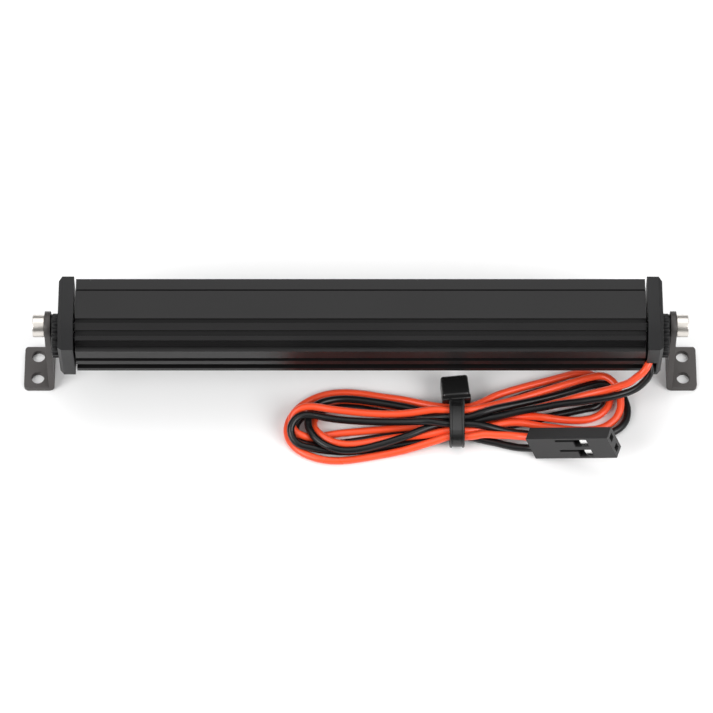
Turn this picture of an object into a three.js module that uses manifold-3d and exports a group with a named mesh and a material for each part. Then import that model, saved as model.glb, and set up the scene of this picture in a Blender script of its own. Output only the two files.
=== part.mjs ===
// Small LED light bar: a ribbed aluminium extrusion with plastic end caps, carried between two
// L-shaped feet that clamp on an M2 screw at each end, with a two-core lead tied into a hank.
// Millimetres. +X runs along the bar, the light shines towards +Y and +Z is up.
// The origin is under the middle of the bar, on the surface that the feet stand on.
import * as THREE from 'three';
import { mergeVertices } from 'three/addons/utils/BufferGeometryUtils.js';
import Module from 'manifold-3d';

const wasm = await Module();
wasm.setup();

// ---------------------------------------------------------------- driving dimensions

// The pivot axis runs along X. Sections below are given as (u, w): u forward, w up from it.
const PIVOT_HEIGHT = 15;
const PIVOT_FORWARD = 0.9;

const BAR_LENGTH = 102;
const CAP_THICKNESS = 2.6;
const CAP_RIM = 0.5;
const CAP_RIM_FRONT = 0.2;
const CAP_SLOPE_RUN = 4.1;
const CAP_SLOPE_DROP = 2.4;
const CAP_HEEL_INSET = 1.05;
const CAP_HEEL_RISE = 1.55;
const CAP_EDGE = 0.6;
const CAP_GAP = 0.3;

const HOUSING_HEIGHT = 13;
const HOUSING_FRONT = 5.4;
const HOUSING_BACK = 6.9;
const TOP_DEPTH = 7.64;
const SHOULDER_DROP = 2.3;
const HEEL_INSET = 0.7;
const HEEL_RISE = 2.1;
const BOTTOM_DEPTH = 8.2;
const WALL = 1.1;
const RIB_DEPTH = 1.1;
// Grooves between the ribs: the middle, as a share of the way from top to heel, and the width.
const GROOVES = [[0.033, 0.7], [0.184, 0.9], [0.365, 2.5], [0.684, 1.1], [0.875, 1.6]];
const HAIRLINE_SETBACK = 2.3;
const HAIRLINE = 0.25;
const CHAMBER_WALL = 0.4;

const WEB_THICKNESS = 1.1;
const WEB_FRONT = -0.9;
const BOARD_THICKNESS = 1;
const BOARD_SLOT = 0.5;
const REFLECTOR_THICKNESS = 2.2;
const LENS_THICKNESS = 1.2;
const SEAL_WIDTH = 0.8;
const LIP_DEPTH = 0.45;
const LIP_HEIGHT = 0.55;
const FIT = 0.1;

const LED_ROWS = 2;
const LED_COLUMNS = 12;
const LED_WIDTH = 2.8;
const LED_THICKNESS = 0.7;
const LED_WINDOW_FRONT = 1.05;
const LED_WINDOW_BACK = 0.87;
const LED_WINDOW_DEPTH = 0.14;
const CUP_WALL = 0.35;
const CUP_CLEARANCE = 0.07;
const END_MARGIN = 0.2;

const M2_RADIUS = 1;
const M2_CLEARANCE = 0.15;
const M2_HEAD_RADIUS = 1.9;
const M2_HEAD_HEIGHT = 2;
const M2_SOCKET_FLATS = 1.5;
const M2_NUT_FLATS = 4;
const M2_NUT_THICKNESS = 1.6;
const CAP_SCREW_LENGTH = 6;
const CAP_SCREW_HEAD_RADIUS = 1.8;
const CAP_SCREW_CORE = 0.85;
const SOCKET_SHARE = 0.6;
const CAP_SCREW_BACK = 2.6;
const CAP_SCREW_BELOW_TOP = 2.6;
const CAP_SCREW_ABOVE_BOTTOM = 1.45;

const PAD_THICKNESS = 1.1;
const PAD_RADIUS = 3.75;
const PAD_OFFSET = 1.9;
const PAD_TEETH = 18;
const TOOTH_DEPTH = 0.35;
const WASHER_THICKNESS = 0.3;
const WASHER_RADIUS = 2;
const STACK_GAP = 0.05;
// How far a cutting tool reaches past the metal that it cuts.
const OVERRUN = 1;

const SHEET = 1;
const FOOT_LENGTH = 6.3;
const FOOT_WIDTH = 8.3;
const EAR_RADIUS = 2.5;
const BEND_INSIDE = 0.1;
const FOOT_CORNER = 0.8;
const FOOT_HOLE_RADIUS = 1.1;
const FOOT_HOLE_SPACING = 4.25;
const FOOT_HOLE_REACH = 2.95;

const WIRE_DIAMETER = 1.3;
const NOTCH_DEPTH = 1.7;
const NOTCH_HEIGHT = 3.8;
const NOTCH_RISE = 1.9;
const NOTCH_REACH = 3.1;

// The cord's places along X are measured from the right-hand end of the bar.
const HANK_BOTTOM = 0.3;
const HANK_TOP = 3.8;
const TIE_X = -34.4;
const TIE_WIDTH = 2.6;
const TIE_THICKNESS = 0.85;
const TIE_CENTRE_Y = -11.15;
const TIE_INNER_HALF_WIDTH = 3.4;
const TIE_INNER_HEIGHT = 3.6;
const TIE_HEAD_WIDTH = 5;
const TIE_HEAD_DEPTH = 5.3;
const TIE_HEAD_HEIGHT = 3.85;
const CORD_GAP = 0.3;

const PLUG_LENGTH = 15.3;
const PLUG_HEIGHT = 5.08;
const PLUG_THICKNESS = 2.54;
const PLUG_PITCH = 2.54;
const PLUG_CORNER = [-21.1, -16.75, 0.4];
const PLUG_YAW = -14.3;
const PLUG_PITCH_UP = 25;
const PLUG_LEAN = 8.6;
const PLUG_SOCKET = 1.2;
const PLUG_WALL = 0.35;
const PLUG_FRONT = 0.8;
const CAVITY_HEIGHT = 2.1;
const WINDOW_START = 5.3;
const WINDOW_END = 11.2;
const WINDOW_TONGUE = 3.3;
const WINDOW_SLIT = 0.5;
const WINDOW_EDGE = 0.15;
const TERMINAL_START = 9.6;
const TERMINAL_BORE = 0.7;
const TERMINAL_BORE_DEPTH = 4;

// ---------------------------------------------------------------- derived places

const HALF_BAR = BAR_LENGTH / 2;
const CAP_INNER = HALF_BAR - CAP_THICKNESS;
const HOUSING_END = CAP_INNER - CAP_GAP;
const HALF_HOUSING = HOUSING_HEIGHT / 2;
const HALF_CAP = HALF_HOUSING + CAP_RIM;
const CAP_FRONT = HOUSING_FRONT + CAP_RIM_FRONT;
const CAP_BACK = HOUSING_BACK + CAP_RIM;
const NOTCH_BOTTOM = NOTCH_RISE - HALF_HOUSING;
const NOTCH_TOP = NOTCH_BOTTOM + NOTCH_HEIGHT;
const NOTCH_INNER = NOTCH_REACH - HOUSING_BACK;
const CAP_SCREW_TOP = HALF_HOUSING - CAP_SCREW_BELOW_TOP;
const CAP_SCREW_BOTTOM = CAP_SCREW_ABOVE_BOTTOM - HALF_HOUSING;
const BEND_RADIUS = BEND_INSIDE + SHEET;
const TOP_BACK = HOUSING_FRONT - TOP_DEPTH;
const BOTTOM_BACK = HOUSING_FRONT - BOTTOM_DEPTH;
const SHOULDER = [-HOUSING_BACK, HALF_HOUSING - SHOULDER_DROP];
const HEEL = [HEEL_INSET - HOUSING_BACK, HEEL_RISE - HALF_HOUSING];
const WEB_BACK = WEB_FRONT - WEB_THICKNESS;

const BAY_HALF = HALF_HOUSING - WALL;
const BOARD_BACK = WEB_FRONT + FIT;
const BOARD_FRONT = BOARD_BACK + BOARD_THICKNESS;
const BOARD_HALF = BAY_HALF + BOARD_SLOT;
const LED_BACK = BOARD_FRONT + FIT;
const LED_FRONT = LED_BACK + LED_THICKNESS;
const REFLECTOR_BACK = BOARD_FRONT + 2 * FIT;
const REFLECTOR_FRONT = REFLECTOR_BACK + REFLECTOR_THICKNESS;
const LIP_BACK = HOUSING_FRONT - LIP_DEPTH;
const LENS_FRONT = LIP_BACK - FIT;
const LENS_BACK = LENS_FRONT - LENS_THICKNESS;

const PAD_INNER = HALF_BAR + STACK_GAP;
const PAD_OUTER = PAD_INNER + PAD_THICKNESS;
const WASHER_INNER = PAD_OUTER + STACK_GAP;
const EAR_INNER = WASHER_INNER + WASHER_THICKNESS + STACK_GAP;
const EAR_OUTER = EAR_INNER + SHEET;
const HEAD_INNER = EAR_OUTER + STACK_GAP;
const NUT_INNER = CAP_INNER + FIT;
const HOLE_X = EAR_INNER + FOOT_HOLE_REACH;

// ---------------------------------------------------------------- finishes

/** A plain standard material. */
function finish(color, roughness, metalness, extra = {}) {
  return new THREE.MeshStandardMaterial({ color, roughness, metalness, ...extra });
}

const FINISH = {
  anodised: () => finish(0x3b3a3b, 0.5, 0.6),
  capPlastic: () => finish(0x3d3c3d, 0.55, 0),
  paintedSteel: () => finish(0x5c5755, 0.45, 0.7),
  nickel: () => finish(0xd8d4cd, 0.22, 1),
  blackSteel: () => finish(0x191919, 0.4, 0.8),
  board: () => finish(0xe8e8e4, 0.5, 0.1),
  phosphor: () => finish(0xe6c948, 0.45, 0),
  chrome: () => finish(0xd9dbde, 0.12, 1),
  lens: () => finish(0xf2f6f8, 0.08, 0, { transparent: true, opacity: 0.35 }),
  rubber: () => finish(0x161616, 0.8, 0),
  redWire: () => finish(0xe8452a, 0.45, 0),
  blackWire: () => finish(0x27282a, 0.45, 0),
  bundle: () => finish(0x8a3324, 0.5, 0),
  nylon: () => finish(0x1d1e1e, 0.35, 0),
  plug: () => finish(0x3a3a3a, 0.5, 0),
  tin: () => finish(0xdadada, 0.25, 1),
};

// ---------------------------------------------------------------- geometry helpers

/** A closed solid from a geometry, ready for joining and cutting. */
function solidOf(geometry) {
  const bare = geometry.index ? geometry.toNonIndexed() : geometry.clone();
  bare.deleteAttribute('normal');
  bare.deleteAttribute('uv');
  const welded = mergeVertices(bare, 1e-4);
  const vertProperties = new Float32Array(welded.attributes.position.array);
  const triVerts = new Uint32Array(welded.index.array);
  return new wasm.Manifold(new wasm.Mesh({ numProp: 3, vertProperties, triVerts }));
}

/** A geometry from a closed solid. */
function geometryOf(solid) {
  const mesh = solid.getMesh();
  const geometry = new THREE.BufferGeometry();
  geometry.setAttribute('position', new THREE.BufferAttribute(mesh.vertProperties, 3));
  geometry.setIndex(new THREE.BufferAttribute(mesh.triVerts, 1));
  return geometry.toNonIndexed();
}

/** The first geometry with every other one taken away from it. */
function cut(geometry, ...tools) {
  return geometryOf(tools.reduce((body, tool) => body.subtract(solidOf(tool)), solidOf(geometry)));
}

/** All the geometries as one body. */
function join(...pieces) {
  return geometryOf(pieces.map(solidOf).reduce((body, piece) => body.add(piece)));
}

/** What all the geometries share. */
function common(...pieces) {
  return geometryOf(pieces.map(solidOf).reduce((body, piece) => body.intersect(piece)));
}

/** A prism of a (u, w) outline between two places along X. */
function alongX(shape, from, to, steps = 8) {
  const prism = new THREE.ExtrudeGeometry(shape, {
    depth: to - from, bevelEnabled: false, curveSegments: steps,
  });
  const turned = new THREE.Matrix4().makeBasis(
    new THREE.Vector3(0, 1, 0), new THREE.Vector3(0, 0, 1), new THREE.Vector3(1, 0, 0));
  return prism.applyMatrix4(turned).translate(from, 0, 0);
}

/** A prism of an (x, z) outline between two places along Y. */
function alongY(shape, from, to, steps = 8) {
  const prism = new THREE.ExtrudeGeometry(shape, {
    depth: to - from, bevelEnabled: false, curveSegments: steps,
  });
  return prism.rotateX(Math.PI / 2).translate(0, to, 0);
}

/** A prism of an (x, y) outline between two heights. */
function alongZ(shape, from, to, steps = 8) {
  const prism = new THREE.ExtrudeGeometry(shape, {
    depth: to - from, bevelEnabled: false, curveSegments: steps,
  });
  return prism.translate(0, 0, from);
}

/** A box between two corners. */
function block([x0, y0, z0], [x1, y1, z1]) {
  const box = new THREE.BoxGeometry(x1 - x0, y1 - y0, z1 - z0);
  return box.translate((x0 + x1) / 2, (y0 + y1) / 2, (z0 + z1) / 2);
}

/** A round bar along X, or a prism with a few flats. */
function barX(radius, from, to, u = 0, w = 0, sides = 20) {
  const bar = new THREE.CylinderGeometry(radius, radius, to - from, sides);
  return bar.rotateZ(Math.PI / 2).translate((from + to) / 2, u, w);
}

/** An outline through points. */
function outline(points) {
  return new THREE.Shape(points.map(([x, y]) => new THREE.Vector2(x, y)));
}

/** The other end's copy of a geometry made for the right-hand end. */
function mirrored(geometry) {
  const flipped = geometry.index ? geometry.toNonIndexed() : geometry.clone();
  flipped.applyMatrix4(new THREE.Matrix4().makeScale(-1, 1, 1));
  const place = flipped.attributes.position;
  for (let i = 0; i < place.count; i += 3) {
    const second = new THREE.Vector3().fromBufferAttribute(place, i + 1);
    const third = new THREE.Vector3().fromBufferAttribute(place, i + 2);
    place.setXYZ(i + 1, third.x, third.y, third.z);
    place.setXYZ(i + 2, second.x, second.y, second.z);
  }
  return flipped;
}

/** Adds a named mesh to a group. */
function add(group, name, geometry, material) {
  const mesh = new THREE.Mesh(geometry, material);
  mesh.name = name;
  group.add(mesh);
  return mesh;
}

/** Adds the right-hand piece and its mirror image on the left. */
function addPair(group, name, geometry, makeMaterial) {
  add(group, `${name}_right`, geometry, makeMaterial());
  add(group, `${name}_left`, mirrored(geometry), makeMaterial());
}

// ---------------------------------------------------------------- housing

/** The point at a distance along a line of corners, and the direction into the metal there. */
function alongLine(corners, distance) {
  let left = distance;
  for (let i = 1; i < corners.length; i += 1) {
    const step = corners[i].clone().sub(corners[i - 1]);
    if (left <= step.length() || i === corners.length - 1) {
      const point = corners[i - 1].clone().addScaledVector(step.normalize(), left);
      return { point, inward: step.rotateAround(new THREE.Vector2(), Math.PI / 2) };
    }
    left -= step.length();
  }
  return null;
}

/** Points of the ribbed back: from the top, over the shoulder and down to the heel. */
function ribbedBack() {
  const corners = [[TOP_BACK, HALF_HOUSING], SHOULDER, HEEL].map((at) => new THREE.Vector2(...at));
  const length = corners[0].distanceTo(corners[1]) + corners[1].distanceTo(corners[2]);
  const points = [corners[0]];
  for (const [share, width] of GROOVES) {
    const [start, end] = [-0.5, 0.5].map((side) => (
      alongLine(corners, share * length + side * width)));
    points.push(start.point, start.point.clone().addScaledVector(start.inward, RIB_DEPTH));
    points.push(end.point.clone().addScaledVector(end.inward, RIB_DEPTH), end.point);
  }
  points.push(corners[2]);
  return points.map((point) => [point.x, point.y]);
}

/** Centres of the two screws that hold each cap, as (u, w). */
const CAP_SCREWS = [[-CAP_SCREW_BACK, CAP_SCREW_TOP], [-CAP_SCREW_BACK, CAP_SCREW_BOTTOM]];

/** The section of the extrusion: one wall open at the front, a wire chamber and two screw bores. */
function housingSection() {
  const hairline = HOUSING_FRONT - HAIRLINE_SETBACK;
  const lipW = BAY_HALF - LIP_HEIGHT;
  const outer = [
    [HOUSING_FRONT, HALF_HOUSING],
    [hairline + HAIRLINE, HALF_HOUSING],
    [hairline + HAIRLINE / 2, HALF_HOUSING - HAIRLINE],
    [hairline, HALF_HOUSING],
    ...ribbedBack(),
    [BOTTOM_BACK, -HALF_HOUSING],
    [HOUSING_FRONT, -HALF_HOUSING],
  ];
  const bayLower = [
    [HOUSING_FRONT, -lipW],
    [LIP_BACK, -lipW],
    [LIP_BACK, -BAY_HALF],
    [BOARD_FRONT + FIT, -BAY_HALF],
    [BOARD_FRONT + FIT, -BOARD_HALF],
    [WEB_FRONT, -BOARD_HALF],
  ];
  const bayUpper = bayLower.map(([u, w]) => [u, -w]).reverse();
  const section = outline([...outer, ...bayLower, ...bayUpper]);
  const chamberBack = RIB_DEPTH + WALL - HOUSING_BACK;
  section.holes.push(new THREE.Path([
    [WEB_BACK, CAP_SCREW_BOTTOM + CAP_SCREW_CORE + CHAMBER_WALL],
    [chamberBack + HEEL_INSET, HEEL[1] + CHAMBER_WALL],
    [chamberBack, SHOULDER[1] - RIB_DEPTH - WALL],
    [WEB_BACK, CAP_SCREW_TOP - CAP_SCREW_CORE - CHAMBER_WALL],
  ].map(([u, w]) => new THREE.Vector2(u, w))));
  for (const [u, w] of CAP_SCREWS) {
    section.holes.push(new THREE.Path().absarc(u, w, CAP_SCREW_CORE, 0, 2 * Math.PI));
  }
  return section;
}

/** The ribbed extrusion, cut to length. */
function housing() {
  return alongX(housingSection(), -HOUSING_END, HOUSING_END, 6);
}

// ---------------------------------------------------------------- end caps and their screws

/** The outline of an end cap, which stands a little proud of the extrusion all round. */
function capOutline() {
  const slopeFront = CAP_SLOPE_RUN - CAP_BACK;
  return outline([
    [CAP_FRONT, HALF_CAP],
    [slopeFront, HALF_CAP],
    [-CAP_BACK, HALF_CAP - CAP_SLOPE_DROP],
    [CAP_HEEL_INSET - CAP_BACK, CAP_HEEL_RISE - HALF_CAP],
    [slopeFront + CAP_HEEL_INSET, -HALF_CAP],
    [CAP_FRONT, -HALF_CAP],
  ]);
}

/** The plain cap plate with its outer edge bevelled all round. */
function capPlate() {
  const bevelled = new THREE.ExtrudeGeometry(capOutline(), {
    depth: CAP_THICKNESS, bevelThickness: CAP_EDGE, bevelSize: CAP_EDGE,
    bevelOffset: -CAP_EDGE, bevelSegments: 1,
  });
  const turned = new THREE.Matrix4().makeBasis(
    new THREE.Vector3(0, 1, 0), new THREE.Vector3(0, 0, 1), new THREE.Vector3(1, 0, 0));
  bevelled.applyMatrix4(turned).translate(CAP_INNER - CAP_EDGE, 0, 0);
  const reach = 2 * HALF_CAP;
  const keep = block([CAP_INNER, -reach, -reach], [HALF_BAR, reach, reach]);
  return common(bevelled, keep);
}

/** A countersunk head's cone, flush with the cap's outer face, with some clearance all round. */
function countersink(u, w, clearance) {
  const mouth = CAP_SCREW_HEAD_RADIUS + clearance;
  const throat = M2_RADIUS + clearance;
  const depth = CAP_SCREW_HEAD_RADIUS - M2_RADIUS;
  const cone = new THREE.CylinderGeometry(throat, mouth, depth, 20);
  return cone.rotateZ(Math.PI / 2).translate(HALF_BAR - depth / 2, u, w);
}

/** A right-hand cap: countersunk holes, a nut pocket behind the pivot, and perhaps a wire notch. */
function cap(withNotch) {
  const past = HALF_BAR + OVERRUN;
  const screwHoles = CAP_SCREWS.flatMap(([u, w]) => [
    barX(M2_RADIUS + M2_CLEARANCE, CAP_INNER - OVERRUN, past, u, w),
    countersink(u, w, M2_CLEARANCE),
  ]);
  const pocketEnd = NUT_INNER + M2_NUT_THICKNESS + FIT;
  const pocket = barX(
    nutRadius(M2_NUT_FLATS) + M2_CLEARANCE, CAP_INNER - OVERRUN, pocketEnd, 0, 0, 6);
  const pivotHole = barX(M2_RADIUS + M2_CLEARANCE, CAP_INNER - OVERRUN, past);
  const cuts = [...screwHoles, pocket, pivotHole];
  if (withNotch) {
    cuts.push(block([CAP_INNER - OVERRUN, -CAP_BACK - OVERRUN, NOTCH_BOTTOM],
      [CAP_INNER + NOTCH_DEPTH, NOTCH_INNER, NOTCH_TOP]));
  }
  return cut(capPlate(), ...cuts);
}

/** Corner radius of a hexagon from its width across flats. */
function nutRadius(flats) {
  return flats / Math.sqrt(3);
}

/** A countersunk cap screw with a hexagon socket. */
function capScrew(u, w) {
  const depth = CAP_SCREW_HEAD_RADIUS - M2_RADIUS;
  const cone = countersink(u, w, 0);
  const shank = barX(CAP_SCREW_CORE - FIT, HALF_BAR - CAP_SCREW_LENGTH, HALF_BAR - depth / 2, u, w);
  const socket = barX(
    nutRadius(M2_SOCKET_FLATS), HALF_BAR - depth * SOCKET_SHARE, HALF_BAR + OVERRUN, u, w, 6);
  return cut(join(cone, shank), socket);
}

// ---------------------------------------------------------------- light engine

const BOARD_HALF_LENGTH = HOUSING_END - END_MARGIN;
const COLUMN_PITCH = (2 * BOARD_HALF_LENGTH) / LED_COLUMNS;
const ROW_PITCH = (2 * BAY_HALF) / LED_ROWS;
const CUP_RADIUS_FRONT = ROW_PITCH / 2 - CUP_WALL;
const CUP_RADIUS_BACK = LED_WIDTH / Math.SQRT2 + CUP_CLEARANCE;

/** Places of the light sources, as x and w. */
function ledPlaces() {
  const places = [];
  for (let row = 0; row < LED_ROWS; row += 1) {
    for (let column = 0; column < LED_COLUMNS; column += 1) {
      places.push([
        (column - (LED_COLUMNS - 1) / 2) * COLUMN_PITCH,
        ((LED_ROWS - 1) / 2 - row) * ROW_PITCH,
      ]);
    }
  }
  return places;
}

/** One surface-mounted light source: a body with a shallow window on its front. */
function led(x, w) {
  const half = LED_WIDTH / 2;
  const body = block([x - half, LED_BACK, w - half], [x + half, LED_FRONT, w + half]);
  const window = new THREE.CylinderGeometry(
    LED_WINDOW_FRONT, LED_WINDOW_BACK, LED_THICKNESS, 12);
  window.translate(x, LED_FRONT + LED_THICKNESS / 2 - LED_WINDOW_DEPTH, w);
  return cut(body, window);
}

/** The circuit board that slides along its slot against the web. */
function circuitBoard() {
  const w = BOARD_HALF - FIT;
  return block([-BOARD_HALF_LENGTH, BOARD_BACK, -w], [BOARD_HALF_LENGTH, BOARD_FRONT, w]);
}

/** The reflector: a plate with one cone-shaped cup round each light source. */
function reflector() {
  const w = BAY_HALF - FIT;
  const plate = block(
    [-BOARD_HALF_LENGTH, REFLECTOR_BACK, -w], [BOARD_HALF_LENGTH, REFLECTOR_FRONT, w]);
  const slope = (CUP_RADIUS_FRONT - CUP_RADIUS_BACK) / REFLECTOR_THICKNESS;
  const cups = ledPlaces().map(([x, z]) => {
    const cone = new THREE.CylinderGeometry(
      CUP_RADIUS_FRONT + slope * OVERRUN, CUP_RADIUS_BACK - slope * OVERRUN,
      REFLECTOR_THICKNESS + 2 * OVERRUN, 16);
    return cone.translate(x, (REFLECTOR_BACK + REFLECTOR_FRONT) / 2, z);
  });
  return cut(plate, ...cups);
}

/** The clear lens behind the housing's lips. */
function lens() {
  const w = BAY_HALF - FIT;
  return block([-BOARD_HALF_LENGTH, LENS_BACK, -w], [BOARD_HALF_LENGTH, LENS_FRONT, w]);
}

/** The soft frame that fills the space between reflector and lens round the edge. */
function seal() {
  const w = BAY_HALF - FIT;
  const back = REFLECTOR_FRONT + FIT;
  const front = LENS_BACK - FIT;
  const frame = block([-BOARD_HALF_LENGTH, back, -w], [BOARD_HALF_LENGTH, front, w]);
  const opening = block(
    [SEAL_WIDTH - BOARD_HALF_LENGTH, back - OVERRUN, SEAL_WIDTH - w],
    [BOARD_HALF_LENGTH - SEAL_WIDTH, front + OVERRUN, w - SEAL_WIDTH]);
  return cut(frame, opening);
}

// ---------------------------------------------------------------- pivots

/** The notched pad between cap and ear, set back from the pivot axis. */
function indexPad() {
  const points = [];
  for (let i = 0; i < PAD_TEETH * 4; i += 1) {
    const angle = (2 * Math.PI * (i + 0.5)) / (PAD_TEETH * 4);
    const radius = i % 4 < 2 ? PAD_RADIUS : PAD_RADIUS - TOOTH_DEPTH;
    points.push([radius * Math.cos(angle) - PAD_OFFSET, radius * Math.sin(angle)]);
  }
  const disc = alongX(outline(points), PAD_INNER, PAD_OUTER);
  return cut(disc, barX(M2_RADIUS + M2_CLEARANCE, PAD_INNER - OVERRUN, PAD_OUTER + OVERRUN));
}

/** The plain washer between pad and ear. */
function washer() {
  const disc = barX(WASHER_RADIUS, WASHER_INNER, WASHER_INNER + WASHER_THICKNESS, 0, 0, 24);
  return cut(disc, barX(M2_RADIUS + M2_CLEARANCE, WASHER_INNER - OVERRUN, EAR_INNER + OVERRUN));
}

/** The M2 cap screw that the bracket turns on. */
function pivotScrew() {
  const head = barX(M2_HEAD_RADIUS, HEAD_INNER, HEAD_INNER + M2_HEAD_HEIGHT, 0, 0, 24);
  const shank = barX(M2_RADIUS, CAP_INNER + FIT, HEAD_INNER + M2_HEAD_HEIGHT / 4);
  const mouth = HEAD_INNER + M2_HEAD_HEIGHT;
  const socket = barX(
    nutRadius(M2_SOCKET_FLATS), mouth - M2_HEAD_HEIGHT / 2, mouth + OVERRUN, 0, 0, 6);
  return cut(join(head, shank), socket);
}

/** The nut caught in the cap's pocket. */
function pivotNut() {
  const body = barX(nutRadius(M2_NUT_FLATS), NUT_INNER, NUT_INNER + M2_NUT_THICKNESS, 0, 0, 6);
  const end = NUT_INNER + M2_NUT_THICKNESS + OVERRUN;
  return cut(body, barX(M2_RADIUS + FIT / 2, NUT_INNER - OVERRUN, end));
}

// ---------------------------------------------------------------- brackets

/** The bent strip seen along the foot's width: an ear, a bend and a foot, as (x, w). */
function stripOutline(floor) {
  const ear = new THREE.Vector2(EAR_INNER, floor);
  const tip = EAR_INNER + FOOT_LENGTH - SHEET;
  const strip = new THREE.Shape();
  strip.moveTo(ear.x, EAR_RADIUS + OVERRUN);
  strip.lineTo(ear.x, floor + BEND_RADIUS);
  strip.absarc(ear.x + BEND_RADIUS, floor + BEND_RADIUS, BEND_RADIUS, Math.PI, 1.5 * Math.PI);
  strip.lineTo(tip, floor);
  strip.lineTo(tip, floor + SHEET);
  const inside = BEND_RADIUS - SHEET;
  strip.lineTo(ear.x + SHEET + inside, floor + SHEET);
  strip.lineTo(ear.x + SHEET, floor + SHEET + inside);
  strip.lineTo(ear.x + SHEET, EAR_RADIUS + OVERRUN);
  strip.closePath();
  return strip;
}

/** A right-hand bracket about its pivot axis: the strip, trimmed to its two outlines and drilled. */
function bracket() {
  const floor = -PIVOT_HEIGHT;
  const half = FOOT_WIDTH / 2;
  const taper = Math.asin((half - EAR_RADIUS) / PIVOT_HEIGHT);
  const side = new THREE.Shape();
  side.moveTo(-half, floor);
  side.lineTo(half, floor);
  side.absarc(0, 0, EAR_RADIUS, taper, Math.PI - taper);
  side.closePath();
  const tip = EAR_INNER + FOOT_LENGTH - SHEET;
  const foot = new THREE.Shape();
  foot.moveTo(EAR_INNER - OVERRUN, -half);
  foot.lineTo(tip - FOOT_CORNER, -half);
  foot.absarc(tip - FOOT_CORNER, FOOT_CORNER - half, FOOT_CORNER, -Math.PI / 2, 0);
  foot.absarc(tip - FOOT_CORNER, half - FOOT_CORNER, FOOT_CORNER, 0, Math.PI / 2);
  foot.lineTo(EAR_INNER - OVERRUN, half);
  foot.closePath();
  const strip = alongY(stripOutline(floor), -half, half, 5);
  const ear = alongX(side, EAR_INNER - OVERRUN, tip + OVERRUN, 8);
  const plan = alongZ(foot, floor - OVERRUN, EAR_RADIUS + OVERRUN, 4);
  const holes = [-1, 1].map((end) => {
    const hole = new THREE.CylinderGeometry(FOOT_HOLE_RADIUS, FOOT_HOLE_RADIUS, 4 * SHEET, 20);
    return hole.rotateX(Math.PI / 2).translate(HOLE_X, (end * FOOT_HOLE_SPACING) / 2, floor);
  });
  const pivot = barX(M2_RADIUS + M2_CLEARANCE, EAR_INNER - OVERRUN, EAR_OUTER + OVERRUN);
  return cut(common(strip, ear, plan), pivot, ...holes);
}

// ---------------------------------------------------------------- cord

/** A plain round cord through hand-placed points, as (x, y, z). */
function cordTube(points) {
  const path = new THREE.CatmullRomCurve3(points.map((point) => new THREE.Vector3(...point)));
  const sides = 8;
  const section = new THREE.Shape();
  for (let i = 0; i < sides; i += 1) {
    const angle = (2 * Math.PI * (i + 0.5)) / sides;
    const corner = [Math.cos(angle), Math.sin(angle)].map((part) => (part * WIRE_DIAMETER) / 2);
    if (i === 0) section.moveTo(...corner);
    else section.lineTo(...corner);
  }
  section.closePath();
  const steps = Math.max(3, Math.round(path.getLength() / WIRE_DIAMETER));
  return new THREE.ExtrudeGeometry(section, { steps, extrudePath: path });
}

/** Places given from the inner, back, lower corner of the notch in the right-hand cap. */
function fromNotch(points) {
  return points.map(([x, y, z]) => [
    x - CAP_THICKNESS, y + PIVOT_FORWARD - CAP_BACK, z + PIVOT_HEIGHT + NOTCH_BOTTOM,
  ]);
}

/** Where each core leaves the cap's notch and drops onto the bundle. */
const LEAD_RED = [
  ...fromNotch([[0.55, 1.3, 3], [0.35, 0.5, 2.85], [-0.4, -0.1, 2.2], [-1.5, -0.35, 1]]),
  [-5.2, -7, 10], [-6.9, -7, 8.2], [-8.3, -7, 7], [-10.1, -6.9, 5.8],
  [-13, -6.9, 5.1], [-15.6, -6.9, 4.85],
];
const LEAD_BLACK = [
  ...fromNotch([[0.8, 1.3, 1.45], [0.8, 0.5, 0.9], [0.2, -0.45, -0.5]]),
  [-3.5, -7.5, 8.9], [-4.7, -7.8, 8], [-6.8, -8, 6.8], [-9.8, -8.3, 5.6],
  [-12.8, -8.4, 5.1], [-15.4, -8.5, 4.85],
];

/** Where each core runs on from the bundle to the back of the plug. */
const TAIL_RED = [
  [-30.4, -13.5, 3.1], [-27.8, -13.7, 2.8], [-24.9, -13.95, 2.75], [-22.5, -14.5, 3.45],
];
const TAIL_BLACK = [
  [-30.4, -13.7, 1.5], [-27.8, -14.3, 1.1], [-24.6, -14.9, 0.9], [-21.6, -15.15, 1.2],
];

/** The outer shape of the tied bundle on the table: a long eye on each side of the tie. */
function hankOutline() {
  const shape = new THREE.Shape();
  const [left, right] = [-38.4, -31.2];
  shape.moveTo(left, -7.6);
  shape.bezierCurveTo(-47, -4.2, -53, -3.3, -56.5, -4);
  shape.bezierCurveTo(-61.5, -5.2, -64.4, -8, -64.4, -11.3);
  shape.bezierCurveTo(-64.4, -15.2, -60.5, -18.1, -55.2, -18.1);
  shape.bezierCurveTo(-49, -18.1, -45, -15.6, left, -15.2);
  shape.lineTo(right, -12.3);
  shape.bezierCurveTo(-27, -12.3, -19, -12.6, -13, -12.6);
  shape.bezierCurveTo(-7, -12.4, -4.3, -10.6, -4.3, -7.6);
  shape.bezierCurveTo(-4.3, -4.2, -5.8, -1.2, -9, -0.2);
  shape.bezierCurveTo(-15, 0.6, -23, -4.2, right, -6.8);
  shape.closePath();
  return shape;
}

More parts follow.
